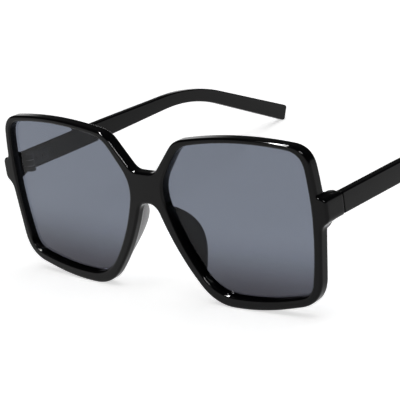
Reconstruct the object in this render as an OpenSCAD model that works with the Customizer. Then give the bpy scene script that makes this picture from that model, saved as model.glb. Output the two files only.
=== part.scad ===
// Oversized sunglasses: a square black front, two grey lenses and two folding temples.
// The front faces -Y, the wearer's left is +X, and z = 0 is the table that the rims
// and the temple tips stand on. The origin is under the middle of the whole object.
// Everything is drawn with the front upright and the shafts level, and then leaned back.

/* [Front] */
// Width of a lens opening, between the corners of its outline
eye_w = 60.3; // [57:0.1:62]
// Height of a lens opening, between the corners of its outline
eye_h = 51.7; // [48:0.1:56]
// Distance between the nose corners of the two openings
bridge_w = 13.6; // [13:0.1:17]
// Rise of the bridge's top edge above the openings' nose corners
bridge_up = 4.4; // [3:0.1:7]
// Width of the flat top of the bridge
notch_w = 10.1; // [8:0.1:12]
// Depth of the nose arch below the openings' nose corners
arch_down = 6.8; // [4:0.1:8]
// Width of the nose arch's top
arch_w = 7.6; // [7:0.1:10]
// Rim above the opening's upper corners
rim_top = 1.9; // [1.7:0.1:4]
// Rim beside the opening's upper outer corner
rim_side = 2.5; // [2.2:0.1:4]
// Rim beside the opening's lower outer corner
rim_low_side = 3.6; // [3:0.1:6]
// Rim below the opening's lower corner
rim_bottom = 4.4; // [3.5:0.1:6]
// Distance of the foot's nose corner beyond the opening's lower nose corner
rim_nose = 0.3; // [0.2:0.1:2]
// Rise of the lower edge towards the outer corner
edge_rise = 5.5; // [3:0.1:7]
// Depth of the front from its face to its back, at the bridge
front_t = 4.3; // [4.2:0.1:4.8]
// Radius of the face's curve, seen from above
front_r = 730; // [650:10:800]
// Radius of the back's curve, seen from above
back_r = 800; // [750:10:900]

/* [End pieces] */
// Distance from an opening's outer corner to the outside of the end piece
end_out = 7.5; // [7:0.1:10]
// Thickness of the end pieces
end_t = 3.2; // [3:0.1:4]
// Height of the end pieces at the joint
end_h = 7.7; // [7.5:0.1:9]
// Distance from the foremost point of the front back to the joint
end_reach = 12.65; // [12:0.05:14]
// Depth of the hinges' middle below the opening's upper outer corner
hinge_down = 18.3; // [16:0.1:20]
// Rise of the end piece's top into the rim
end_rise = 1.6; // [0.8:0.1:2]
// Fall of the end piece's underside into the rim
end_fall = 2; // [1.6:0.1:4]

/* [Lenses] */
// Thickness of the lenses
lens_t = 1.3; // [1.2:0.1:1.4]
// Depth of the lenses behind the front face of the rims
lens_set = 2.2; // [1.8:0.1:2.3]
// Depth of the groove that holds each lens
groove_d = 0.6; // [0.4:0.1:0.9]
// Play between a lens and its groove
lens_play = 0.05; // [0.03:0.01:0.1]

/* [Temples] */
// Thickness of the temples
temple_t = 3.2; // [3:0.1:4]
// Height of a temple at the joint
root_h = 7.2; // [7:0.1:9]
// Height of a temple where it bends
waist_h = 5.1; // [4:0.1:6]
// Height of a temple at its tip
tip_h = 6.6; // [5:0.1:8]
// Length from the joint to the start of the bend
shaft_len = 75.7; // [70:0.1:86]
// Length from the joint to the start of the taper
taper_start = 26; // [18:1:40]
// Radius of the bend behind the ear
bend_r = 75; // [50:1:100]
// Slope of the shafts below the horizontal, by which the front leans back too, in degrees
lean = 3.4; // [0:0.1:5]
// Slope of the ear part below the horizontal, in degrees
ear_drop = 28.4; // [25:0.1:35]
// Radius of the corners of the tip
tip_r = 1.3; // [0.5:0.1:2]
// Gap between the end piece and the temple
joint_gap = 0.3; // [0.2:0.05:0.5]
// Thickness of the flat wire inside a temple
wire_t = 1; // [0.8:0.05:1.2]
// Height of the flat wire inside a temple
wire_h = 1.6; // [1.2:0.05:2]
// Play round the wire
wire_play = 0.05; // [0.02:0.01:0.1]
// Distance from the joint to the front end of the wire
wire_start = 14; // [13:0.5:20]
// Distance from the wire's rear end to the tip
wire_end = 7; // [5:0.5:12]

/* [Hinges] */
// Radius of the knuckles
knuckle_r = 1.6; // [1.5:0.05:1.8]
// Height of one knuckle
knuckle_h = 1.9; // [1.8:0.05:2]
// Space between the knuckles and the plastic beside them
knuckle_gap = 0.2; // [0.15:0.05:0.4]
// Radius of the pivot screw's shank
pivot_r = 0.7; // [0.6:0.05:0.75]
// Running clearance round the pivot screw
pivot_play = 0.05; // [0.02:0.01:0.08]
// Radius of the pivot screw's head
pivot_head_r = 1.1; // [1:0.05:1.2]
// Height of the pivot screw's head
pivot_head_h = 0.6; // [0.4:0.05:0.8]
// Thickness of the washers
washer_t = 0.25; // [0.2:0.01:0.3]
// Radius of the washers
washer_r = 1.45; // [1.3:0.05:1.5]
// Play above and below each washer
washer_play = 0.05; // [0.03:0.01:0.1]
// Thickness of the leaves
leaf_t = 0.8; // [0.7:0.05:1]
// Depth to which the leaves are let into the plastic
leaf_sink = 0.4; // [0.3:0.05:0.6]
// Play round a leaf and its screws
leaf_play = 0.05; // [0.03:0.01:0.1]
// Length of a front leaf from the pivot
front_leaf_len = 4.2; // [4:0.05:4.3]
// Length of a temple leaf from the pivot
temple_leaf_len = 10.6; // [10:0.1:12]
// Height of a temple leaf
temple_leaf_h = 5; // [4.5:0.1:5.2]
// Radius of the leaf screws' shanks
leaf_screw_r = 0.5; // [0.4:0.05:0.55]
// Radius of the leaf screws' heads
leaf_head_r = 0.85; // [0.75:0.05:0.9]
// Height of the leaf screws' heads
leaf_head_h = 0.35; // [0.25:0.05:0.4]
// Length of the leaf screws under the head
leaf_screw_len = 2.4; // [2:0.1:2.6]
// Distance between the two screws of a front leaf
front_screw_gap = 3.8; // [3.6:0.1:4]
// Distance from the pivot to the screws of a front leaf
front_screw_in = 3.05; // [3:0.05:3.2]
// Distance from the pivot to a temple leaf's first screw
temple_screw_in = 4.2; // [4:0.1:4.5]
// Distance between the two screws of a temple leaf
temple_screw_gap = 4; // [3.5:0.1:4.5]
// Width of the slots in the screw heads
slot_w = 0.3; // [0.2:0.05:0.4]
// Depth of the slots in the screw heads
slot_d = 0.2; // [0.1:0.05:0.25]

/* [Nose pads] */
// Length of a nose pad along the rim
pad_len = 28; // [22:0.5:29]
// Reach of a nose pad behind the rim
pad_reach = 7.2; // [5:0.1:8]
// Thickness of a nose pad
pad_t = 2.2; // [1.8:0.1:3]
// Distance of a nose pad's root from the rim's nose edge
pad_in = 0.3; // [0.2:0.1:0.8]
// Outward lean of a nose pad, in degrees
pad_lean = 18; // [10:1:30]

/* [Hidden] */

// Fineness of small round parts and of the long curves
small_fn = 48;
front_fn = 720;
$fn = small_fn;
// Overrun of every cut
over = 1;
// Overlap of a knuckle's tongue and its leaf
tongue_lap = 0.3;

// Height of the openings' nose corners as a share of eye_h
nose_share = 0.69;
// Corners of a lens opening as shares of its width and height, clockwise from the upper nose corner
eye_shares = [[0.177, 0.977], [1, 1], [0.957, 0.076], [0.307, 0], [0, nose_share]];
// Bow of each edge as a share of its length, and the length of each rounded corner as a share of eye_h
eye_bow_shares = [0.049, 0.051, 0.048, 0.072, 0];
eye_corner_shares = [0.083, 0.092, 0.06, 0.137, 0.12];
// The same for the outer outline, clockwise from the notch over the bridge
rim_bow_shares = [0, 0.044, 0.015, 0, 0, 0, 0, 0, 0, 0.06];
rim_corner_shares = [0.245, 0.065, 0.117, 0.02, 0.03, 0.025, 0.035, 0.144, 0.174, 0.145, 0.47];
// The sizes that these corner shares belong to
rim_corner_sizes = [
  notch_w, eye_h, eye_h, eye_h, eye_h, eye_h, eye_h, eye_w, eye_w, eye_h, arch_w
];
// Where the lower edge leaves the table, between the opening's two lower corners
foot_share = 0.476;
// Place of a nose pad's top on the rim's nose edge, from the arch to the foot
pad_top_share = 0.03;
// Skew of a nose pad's ridge: below 1 its highest point lies nearer to the top
pad_skew = 0.85;
// Share of the end piece's fall that lies inside the rim's outline
fall_share = 1 / 3;
// Steps of a rounded corner and of a bowed edge
corner_steps = 5;
edge_steps = 6;
// Pieces of a temple's outline, of its tip corners and of a pad's ridge
temple_steps = 26;
tip_steps = 6;
pad_steps = 14;

// Sizes and places that follow from the ones above
front_w = bridge_w + 2 * (eye_w + end_out);
nose_z = rim_bottom + nose_share * eye_h;
bridge_top = nose_z + bridge_up;
arch_top = nose_z - arch_down;
hinge_z = rim_bottom + eye_h - hinge_down;
eye_x = bridge_w / 2;
eye_z = rim_bottom;
end_x = front_w / 2 - end_t;
end_top = hinge_z + end_h / 2;
end_low = hinge_z - end_h / 2;
axle_x = end_x - knuckle_r - knuckle_gap;
axle_y = end_reach + joint_gap / 2;
root_y = end_reach + joint_gap;
knuckle_pitch = knuckle_h + washer_t + 2 * washer_play;
stack_h = 2 * knuckle_pitch + knuckle_h;
temple_x = end_x + end_t - temple_t;

// A point on the bowed line from a to b
function toward(a, b, bow, s) =
  a + s * (b - a) + 4 * bow * s * (1 - s) * [a[1] - b[1], b[0] - a[0]];

// The curve that rounds the corner c between the points p and q
function corner(p, c, q) =
  [for (k = [1 : corner_steps - 1]) let (s = k / corner_steps)
    (1 - s) * (1 - s) * p + 2 * s * (1 - s) * c + s * s * q];

// A closed outline with bowed edges and rounded corners
function rounded(corners, bows, radii) =
  let (n = len(corners))
  [for (i = [0 : n - 1])
    let (
      a = corners[(i + n - 1) % n],
      c = corners[i],
      b = corners[(i + 1) % n],
      before = 1 - radii[i] / norm(c - a),
      after = radii[i] / norm(b - c),
      far = 1 - radii[(i + 1) % n] / norm(b - c),
      p = toward(a, c, bows[(i + n - 1) % n], before),
      q = toward(c, b, bows[i], after),
      steps = bows[i] == 0 ? 1 : edge_steps
    )
    each concat(
      [p], corner(p, c, q), [q],
      [for (k = [1 : 1 : steps - 1]) toward(c, b, bows[i], after + (far - after) * k / steps)]
    )];

// A clockwise outline moved outwards by d
function grown(pts, d) =
  let (n = len(pts))
  [for (i = [0 : n - 1])
    let (t = pts[(i + 1) % n] - pts[(i + n - 1) % n])
    pts[i] + d * [-t[1], t[0]] / norm(t)];

// Mirror image of an outline across x = 0, in the reversed order
function mirrored(pts) = [for (i = [len(pts) - 1 : -1 : 0]) [-pts[i][0], pts[i][1]]];

// Outline of the left lens opening
eye_corners = [for (s = eye_shares) [eye_x + s[0] * eye_w, eye_z + s[1] * eye_h]];
eye = rounded(eye_corners, eye_bow_shares, eye_corner_shares * eye_h);

// Corners of the outer outline's left half, clockwise from the notch to the nose arch
foot_x = eye_corners[3][0] - rim_nose;
rim_corners = [
  [notch_w / 2, bridge_top],
  [eye_corners[0][0] - rim_top, eye_corners[0][1] + rim_top],
  [eye_corners[1][0] + rim_side, eye_corners[1][1] + rim_top],
  [end_x, end_top + end_rise],
  [front_w / 2, end_top],
  [front_w / 2, end_low + fall_share * end_rise],
  [end_x, end_low - end_fall],
  [eye_corners[2][0] + rim_low_side, edge_rise],
  [eye_corners[3][0] + foot_share * (eye_corners[2][0] - eye_corners[3][0]), 0],
  [foot_x, 0],
  [arch_w / 2, arch_top]
];
rim_count = len(rim_corners);
mirrored_corners = mirrored(rim_corners);
all_corners = concat(rim_corners, mirrored_corners);
all_bows = concat(rim_bow_shares, [0], [for (i = [rim_count - 2 : -1 : 0]) rim_bow_shares[i]], [0]);
rim_cuts = [for (i = [0 : rim_count - 1]) rim_corner_shares[i] * rim_corner_sizes[i]];
all_radii = concat(rim_cuts, [for (i = [rim_count - 1 : -1 : 0]) rim_cuts[i]]);
rim = rounded(all_corners, all_bows, all_radii);

// Depth of the front's face and of its back at a distance x from the middle
function face_at(x) = front_r - sqrt(front_r * front_r - x * x);
function back_at(x) = front_t + back_r - sqrt(back_r * back_r - x * x);

// Depth and height, after the lean, of a point that is drawn at y and z
function leaned(y, z) = [y * cos(lean) + z * sin(lean), z * cos(lean) - y * sin(lean)];

// The temple's middle line: a level shaft, a bend and a straight ear part that ends on the table
ear_turn = ear_drop - lean;
bend_len = bend_r * ear_turn * PI / 180;
bend_y = root_y + shaft_len;
ear_y = bend_y + bend_r * sin(ear_turn);
ear_z = hinge_z - bend_r * (1 - cos(ear_turn));
tip_z = tip_r + (tip_h / 2 - tip_r) * cos(ear_drop) - tip_r * sin(ear_drop);
ear_len = (leaned(ear_y, ear_z)[1] - tip_z) / sin(ear_drop);
temple_len = shaft_len + bend_len + ear_len;
waist_at = shaft_len + bend_len / 2;

// The front's foremost point and the tips' rearmost one, after the lean
fore_y = min([for (p = rim) leaned(face_at(p[0]), p[1])[0]]);
rear_y = leaned(ear_y, ear_z)[0] + ear_len * cos(ear_drop)
  + (tip_h / 2 - tip_r) * sin(ear_drop) + tip_r * (1 - cos(ear_drop));
mid_y = (fore_y + rear_y) / 2;

// Slope, place and half height of the temple at a distance s from the joint
function slope_at(s) = ear_turn * min(1, max(0, (s - shaft_len) / bend_len));
function middle_at(s) =
  s < shaft_len ? [root_y + s, hinge_z] :
  s < shaft_len + bend_len ?
    [bend_y + bend_r * sin(slope_at(s)), hinge_z - bend_r * (1 - cos(slope_at(s)))] :
  [ear_y + (s - shaft_len - bend_len) * cos(ear_turn),
   ear_z - (s - shaft_len - bend_len) * sin(ear_turn)];
function eased(t) = t * t * (3 - 2 * t);
function half_at(s) =
  s < waist_at ?
    root_h / 2 + (waist_h - root_h) / 2 *
      eased(min(1, max(0, (s - taper_start) / (waist_at - taper_start)))) :
  waist_h / 2 + (tip_h - waist_h) / 2 * (s - waist_at) / (temple_len - waist_at);
function beside(s, d) = middle_at(s) + d * [sin(slope_at(s)), cos(slope_at(s))];

// A rounded corner of the tip, above the middle line with side 1 and below it with side -1
function tip_corner(side) =
  let (
    mid = middle_at(temple_len)
      - tip_r * [cos(ear_turn), -sin(ear_turn)]
      + side * (tip_h / 2 - tip_r) * [sin(ear_turn), cos(ear_turn)]
  )
  [for (k = [0 : tip_steps])
    let (a = side * 90 * (1 - k / tip_steps) - ear_turn)
    mid + tip_r * [cos(a), sin(a)]];

tip_back = tip_r / temple_len;
edge_stops = [for (k = [0 : temple_steps]) temple_len * k / temple_steps * (1 - tip_back)];
upper = [for (s = edge_stops) beside(s, half_at(s))];
lower = [for (k = [temple_steps : -1 : 0]) beside(edge_stops[k], -half_at(edge_stops[k]))];
lower_tip = tip_corner(-1);
temple_outline = concat(
  upper, tip_corner(1), [for (k = [tip_steps : -1 : 0]) lower_tip[k]], lower
);

// Ridge of a nose pad: a hump behind the rim, drawn backwards along Y and down along -Z
pad_profile = concat(
  [for (k = [0 : pad_steps])
    [pad_reach * sin(180 * pow(k / pad_steps, pad_skew)), -pad_len * k / pad_steps]],
  [[-front_t, -pad_len], [-front_t, 0]]
);
nose_edge = [[foot_x, 0], [arch_w / 2, arch_top]];
pad_shares = [1 - pad_top_share, 1 - pad_top_share - pad_len / norm(nose_edge[1] - nose_edge[0])];
pad_ends = [for (s = pad_shares) toward(nose_edge[0], nose_edge[1], rim_bow_shares[9], s)];
pad_top = pad_ends[0];
nose_lean = atan2(pad_ends[1][0] - pad_top[0], pad_top[1] - pad_ends[1][1]);
pad_from = pad_top[0];
pad_to = pad_top[0] + pad_in + pad_t + pad_len * sin(nose_lean);

// Colours
frame_black = "#1b1b1d";
lens_grey = [0.33, 0.35, 0.4, 0.6];
bright_steel = "#b9bcc0";
plated_steel = "#2b2b2e";
nylon = "#e4e2da";

// Placing and repeating
module in_place() translate([0, -mid_y, 0]) rotate([-lean, 0, 0]) children();
module both_sides() {
  children();
  mirror([1, 0, 0]) children();
}
module right_side() mirror([1, 0, 0]) children();

// Takes off what would lie below the table
module stood()
  difference() {
    children();
    translate([-front_w, -rear_y, -front_t]) cube([2 * front_w, 2 * rear_y, front_t]);
  }

// An outline in x and z, drawn from y0 to y1
module plate_xz(pts, y0, y1)
  translate([0, y1, 0]) rotate([90, 0, 0]) linear_extrude(y1 - y0) polygon(pts);

// An outline in y and z, drawn from x0 to x1
module plate_yz(pts, x0, x1)
  translate([x0, 0, 0]) rotate([90, 0, 90]) linear_extrude(x1 - x0) polygon(pts);

// Everything that lies deeper than d behind the curved front face
module behind(d)
  translate([0, front_r, -over])
    cylinder(r = front_r - d, h = bridge_top + eye_h + 2 * over, $fn = front_fn);

// Everything that lies behind the front's curved back
module behind_back()
  translate([0, front_t + back_r, -over])
    cylinder(r = back_r, h = bridge_top + eye_h + 2 * over, $fn = front_fn);

// A lens or its groove: a curved sheet between two depths, cut to an outline
module lens_sheet(pts, d0, d1)
  difference() {
    intersection() {
      behind(d0);
      plate_xz(pts, -over, end_reach);
    }
    behind(d1);
  }

// Moves to the left hinge: x outwards from the pivot, y backwards and z up from its middle
module at_hinge() translate([axle_x, axle_y, hinge_z]) children();

// Room of an end piece: seen from the side, from the face back to the joint
module end_block() {
  side = [
    [0, end_top + end_rise],
    [front_t, end_top + end_rise],
    [end_reach - front_leaf_len, end_top],
    [end_reach, end_top],
    [end_reach, end_low],
    [end_reach - front_leaf_len, end_low],
    [end_reach - front_leaf_len - front_t, end_low - fall_share * end_fall],
    [0, end_low - fall_share * end_fall]
  ];
  plate_yz(side, end_x, front_w / 2 + over);
}

// Recess for a leaf: from the inner face into the plastic, over a length and a height
module leaf_recess(from, length, height)
  translate([
    knuckle_r + knuckle_gap - over, from, -height / 2 - leaf_play
  ])
    cube([leaf_sink + leaf_play + over, length, height + 2 * leaf_play]);

// Pilot hole for one leaf screw
module pilot(y, z)
  translate([leaf_x(), y, z]) rotate([0, 90, 0])
    cylinder(r = leaf_screw_r + leaf_play, h = leaf_screw_len + leaf_play);

// Distance from the pivot to the inner face of a leaf
function leaf_x() = knuckle_r + knuckle_gap + leaf_sink - leaf_t;

module frame_front()
  color(frame_black) stood() in_place()
    difference() {
      intersection() {
        behind(0);
        plate_xz(rim, -over, end_reach + over);
        union() {
          difference() {
            translate([-front_w, -over, -over])
              cube([2 * front_w, end_reach + over, bridge_top + eye_h]);
            behind_back();
          }
          both_sides() end_block();
        }
      }
      both_sides() {
        plate_xz(eye, -over, end_reach);
        lens_sheet(grown(eye, groove_d), lens_set - lens_play, lens_set + lens_t + lens_play);
        at_hinge() {
          leaf_recess(-front_leaf_len - leaf_play, front_leaf_len + leaf_play + over, stack_h);
          for (side = [-1, 1]) pilot(-front_screw_in, side * front_screw_gap / 2);
        }
      }
    }

module lens_left()
  in_place() color(lens_grey)
    lens_sheet(grown(eye, groove_d - lens_play), lens_set, lens_set + lens_t);

module lens_right() right_side() lens_left();

module nose_pad_left()
  in_place() color(frame_black)
    intersection() {
      translate([pad_from, back_at(pad_from), 0])
        rotate([0, 0, atan2(back_at(pad_to) - back_at(pad_from), pad_to - pad_from)])
          cube([front_w, end_reach, arch_top + pad_len]);
      translate([pad_top[0] + pad_in, front_t, pad_top[1]])
        rotate([0, -nose_lean, 0]) rotate([0, 0, -pad_lean])
          plate_yz(pad_profile, 0, pad_t);
    }

module nose_pad_right() right_side() nose_pad_left();

// One knuckle with its tongue towards the leaf; dir is 1 for the temple and -1 for the front
module knuckle(z, dir) {
  translate([0, 0, z - knuckle_h / 2]) {
    cylinder(r = knuckle_r, h = knuckle_h);
    translate([knuckle_r / 2, dir > 0 ? 0 : -knuckle_r - knuckle_gap - tongue_lap, 0])
      cube([
        leaf_x() + leaf_t - knuckle_r / 2, knuckle_r + knuckle_gap + tongue_lap, knuckle_h
      ]);
  }
}

// Flat plate of a leaf, from behind the knuckles to its length
module leaf_plate(dir, length, height)
  translate([
    leaf_x(), dir > 0 ? knuckle_r + knuckle_gap : -length, -height / 2
  ])
    cube([leaf_t, length - knuckle_r - knuckle_gap, height]);

// Hole for the pivot screw through the whole hinge
module pivot_hole()
  translate([0, 0, -stack_h / 2 - over])
    cylinder(r = pivot_r + pivot_play, h = stack_h + 2 * over);

// Hole through a leaf for one leaf screw
module leaf_hole(y, z)
  translate([leaf_x() - over, y, z]) rotate([0, 90, 0])
    cylinder(r = leaf_screw_r + leaf_play, h = leaf_t + 2 * over);

module front_hinge_leaf_left()
  in_place() color(plated_steel) at_hinge()
    difference() {
      union() {
        knuckle(knuckle_pitch, -1);
        knuckle(-knuckle_pitch, -1);
        leaf_plate(-1, front_leaf_len, stack_h);
      }
      pivot_hole();
      translate([0, 0, stack_h / 2 - pivot_head_h])
        cylinder(r = pivot_head_r + pivot_play, h = pivot_head_h + over);
      for (side = [-1, 1]) leaf_hole(-front_screw_in, side * front_screw_gap / 2);
    }

module front_hinge_leaf_right() right_side() front_hinge_leaf_left();

module temple_hinge_leaf_left()
  in_place() color(plated_steel) at_hinge()
    difference() {
      union() {
        knuckle(0, 1);
        leaf_plate(1, temple_leaf_len, temple_leaf_h);
      }
      pivot_hole();
      for (k = [0, 1]) leaf_hole(temple_screw_in + k * temple_screw_gap, 0);
    }

module temple_hinge_leaf_right() right_side() temple_hinge_leaf_left();

// One leaf screw, driven outwards from the inner face of the leaf, with a slotted head
module leaf_screw(y, z)
  translate([leaf_x(), y, z]) rotate([0, 90, 0])
    difference() {
      union() {
        cylinder(r = leaf_screw_r, h = leaf_screw_len);
        translate([0, 0, -leaf_head_h]) cylinder(r = leaf_head_r, h = leaf_head_h);
      }
      translate([-leaf_head_r - over, -slot_w / 2, -leaf_head_h - over])
        cube([2 * leaf_head_r + 2 * over, slot_w, slot_d + over]);
    }

module front_leaf_screws_left()
  in_place() color(bright_steel) at_hinge()
    for (side = [-1, 1]) leaf_screw(-front_screw_in, side * front_screw_gap / 2);

module front_leaf_screws_right() right_side() front_leaf_screws_left();

module temple_leaf_screws_left()
  in_place() color(bright_steel) at_hinge()
    for (k = [0, 1]) leaf_screw(temple_screw_in + k * temple_screw_gap, 0);

module temple_leaf_screws_right() right_side() temple_leaf_screws_left();

// Two washers, above and below the temple's knuckle
module hinge_washers_left()
  in_place() color(nylon) at_hinge()
    for (side = [-1, 1])
      translate([0, 0, side * knuckle_pitch / 2 - washer_t / 2])
        difference() {
          cylinder(r = washer_r, h = washer_t);
          translate([0, 0, -over])
            cylinder(r = pivot_r + pivot_play, h = washer_t + 2 * over);
        }

module hinge_washers_right() right_side() hinge_washers_left();

// Pivot screw: a slotted head let into the upper knuckle and a shank through all three
module pivot_screw_left()
  in_place() color(bright_steel) at_hinge()
    difference() {
      union() {
        translate([0, 0, -stack_h / 2]) cylinder(r = pivot_r, h = stack_h);
        translate([0, 0, stack_h / 2 - pivot_head_h])
          cylinder(r = pivot_head_r, h = pivot_head_h);
      }
      translate([-pivot_head_r - over, -slot_w / 2, stack_h / 2 - slot_d])
        cube([2 * pivot_head_r + 2 * over, slot_w, slot_d + over]);
    }

module pivot_screw_right() right_side() pivot_screw_left();

// A flat wire along the temple's middle line, larger by play all round
module wire(play) {
  first = wire_start - play;
  last = temple_len - wire_end + play;
  at = [for (k = [0 : temple_steps]) first + (last - first) * k / temple_steps];
  half = wire_h / 2 + play;
  pts = concat(
    [for (s = at) beside(s, half)],
    [for (k = [temple_steps : -1 : 0]) beside(at[k], -half)]
  );
  mid_x = temple_x + temple_t / 2;
  plate_yz(pts, mid_x - wire_t / 2 - play, mid_x + wire_t / 2 + play);
}

module temple_left()
  in_place() color(frame_black)
    difference() {
      plate_yz(temple_outline, temple_x, temple_x + temple_t);
      wire(wire_play);
      at_hinge() {
        leaf_recess(0, temple_leaf_len + leaf_play, temple_leaf_h);
        for (k = [0, 1]) pilot(temple_screw_in + k * temple_screw_gap, 0);
      }
    }

module temple_right() right_side() temple_left();

module core_wire_left()
  in_place() color(bright_steel) wire(0);

module core_wire_right() right_side() core_wire_left();

frame_front();
lens_left();
lens_right();
nose_pad_left();
nose_pad_right();
front_hinge_leaf_left();
front_hinge_leaf_right();
front_leaf_screws_left();
front_leaf_screws_right();
hinge_washers_left();
hinge_washers_right();
pivot_screw_left();
pivot_screw_right();
temple_left();
temple_right();
core_wire_left();
core_wire_right();
temple_hinge_leaf_left();
temple_hinge_leaf_right();
temple_leaf_screws_left();
temple_leaf_screws_right();
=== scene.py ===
"""Looks of the oversized sunglasses: rounded black plastic, grey lenses and metal hinges.

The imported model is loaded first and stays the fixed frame. Every new piece is a surface worked out
as whole arrays, in metres. It is drawn upright, with x towards the wearer's left, y backwards from the
face and z up, and then leaned back into the frame of that model. The sizes are those of the model's
source, but for the end piece's rise and the pads' reach and lean, which follow the photograph closer.
Run as a script, the add-on's operators are called in order.
"""

import math

import bmesh
import bpy
import numpy as np
from mathutils import Matrix, Vector


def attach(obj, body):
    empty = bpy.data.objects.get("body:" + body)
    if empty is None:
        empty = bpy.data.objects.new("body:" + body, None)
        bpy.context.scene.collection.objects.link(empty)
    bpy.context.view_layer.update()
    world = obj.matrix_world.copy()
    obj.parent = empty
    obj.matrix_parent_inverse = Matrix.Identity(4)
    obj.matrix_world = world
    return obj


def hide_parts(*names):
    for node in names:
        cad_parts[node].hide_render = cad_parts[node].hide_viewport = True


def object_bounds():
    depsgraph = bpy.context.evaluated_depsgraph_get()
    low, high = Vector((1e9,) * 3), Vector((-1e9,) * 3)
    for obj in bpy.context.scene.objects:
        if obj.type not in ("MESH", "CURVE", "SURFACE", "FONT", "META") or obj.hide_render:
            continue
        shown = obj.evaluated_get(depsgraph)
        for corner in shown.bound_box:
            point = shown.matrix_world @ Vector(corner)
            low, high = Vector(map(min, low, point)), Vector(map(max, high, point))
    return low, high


bl_info = {
    "name": "Oversized sunglasses",
    "version": (1, 0, 0),
    "blender": (4, 5, 0),
    "location": "3D View > Sidebar > Sunglasses",
    "description": "Builds the rounded front, lenses, nose pads, temples and hinges of a pair of sunglasses",
    "category": "Object",
}

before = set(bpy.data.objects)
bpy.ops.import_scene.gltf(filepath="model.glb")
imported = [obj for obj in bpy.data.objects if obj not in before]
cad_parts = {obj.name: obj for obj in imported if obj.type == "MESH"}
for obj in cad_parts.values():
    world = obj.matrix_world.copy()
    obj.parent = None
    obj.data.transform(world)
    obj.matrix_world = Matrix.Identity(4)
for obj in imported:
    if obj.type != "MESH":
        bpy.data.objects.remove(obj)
CAD_BOX = [[float(v) for v in corner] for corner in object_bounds()]

MM = 0.001
SIDES = {"left": 1, "right": -1}
WELD = 1e-6

# Outline of the front, in the plane of the face: x to the side and z up
EYE_SHARES = np.array([[0.177, 0.977], [1, 1], [0.957, 0.076], [0.307, 0], [0, 0.69]])
EYE_BOWS = [0.049, 0.051, 0.048, 0.072, 0]
EYE_CORNERS = [0.083, 0.092, 0.06, 0.137, 0.12]
RIM_BOWS = [0, 0.044, 0.015, 0, 0, 0, 0, 0, 0, 0.06]
RIM_CORNERS = [0.245, 0.065, 0.117, 0.02, 0.03, 0.025, 0.035, 0.144, 0.174, 0.145, 0.47]
FOOT_SHARE = 0.476
FALL_SHARE = 1 / 3
CURVE_STEPS = np.arange(48) / 48
LINE_SPACING = 0.1 * MM
EYE_SOFTNESS = 1.2 * MM
RIM_SOFTNESS = 0.5 * MM

# Grid of the front: spacing of its rows' points, and how much closer they lie at the end piece
RIM_SPACING = 0.5 * MM
END_DENSITY = 3
END_RUN_IN = 2 * MM
# Lengths over which the rim turns into the end piece, sideways and backwards, and by the nose
END_BLEND = 0.35 * MM
BLOCK_BLEND = 4 * MM
BLOCK_START_SHARE = 0.8
NOSE_BLEND = 5 * MM
# Largest share of the rim's width that each rounding, and the flat band beside it, takes
FACE_EDGE_SHARE = 0.55
BACK_EDGE_SHARE = 0.6
EYE_EDGE_SHARE = 0.4
EYE_BACK_SHARE = 0.3
BAND = 0.3 * MM
BAND_SHARE = 0.12

# Shape of a nose pad
PAD_SKEW = 0.85
PAD_THIN_SHARE = 0.35
PAD_SQUARENESS = 0.8
PAD_ROOT = 1.2 * MM
PAD_START_SHARE = 0.97

# Fade from the painted shade at the lens's bottom to its own tint, in shares of the opening's height above
# its lower edge
SHADE_START_SHARE = -0.08
SHADE_END_SHARE = 0.45

# Relief of the surfaces, and the light of the floor that the camera sees
RELIEF = 0.02 * MM
FLOOR_LIFT = 0.66
FLOOR_REACH = 4
FLOOR_COUNT = 9

# Lamps: direction seen from the object, distance in metres, direction of the long side, size, watts
LAMPS = {
    "lamp_above": ((0.1, 0.15, 1.25), 1.3, (1, 0, 0), (1.6, 1.6), 11.0),
    "lamp_streak": ((-0.35, -0.38, 0.75), 0.9, (0, 0.86, 0.44), (0.9, 0.03), 28.0),
    "lamp_corner": ((0.32, -0.71, 0.63), 0.9, (1, 0.3, 0), (0.3, 0.05), 6.0),
}


def length(name, text, millimetres):
    """A property that holds a length, with its default in millimetres."""
    return bpy.props.FloatProperty(
        name=name, description=text, default=millimetres * MM, min=0.0,
        subtype="DISTANCE", unit="LENGTH", precision=5,
    )


def share(name, text, value):
    """A property that holds a share from 0 to 1."""
    return bpy.props.FloatProperty(
        name=name, description=text, default=value, min=0.0, max=1.0, subtype="FACTOR"
    )


def angle(name, text, degrees):
    """A property that holds an angle, with its default in degrees."""
    return bpy.props.FloatProperty(
        name=name, description=text, default=math.radians(degrees), subtype="ANGLE", unit="ROTATION"
    )


def colour(name, text, rgb):
    """A property that holds a linear colour."""
    return bpy.props.FloatVectorProperty(
        name=name, description=text, default=rgb, size=3, min=0.0, max=1.0, subtype="COLOR"
    )


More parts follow.
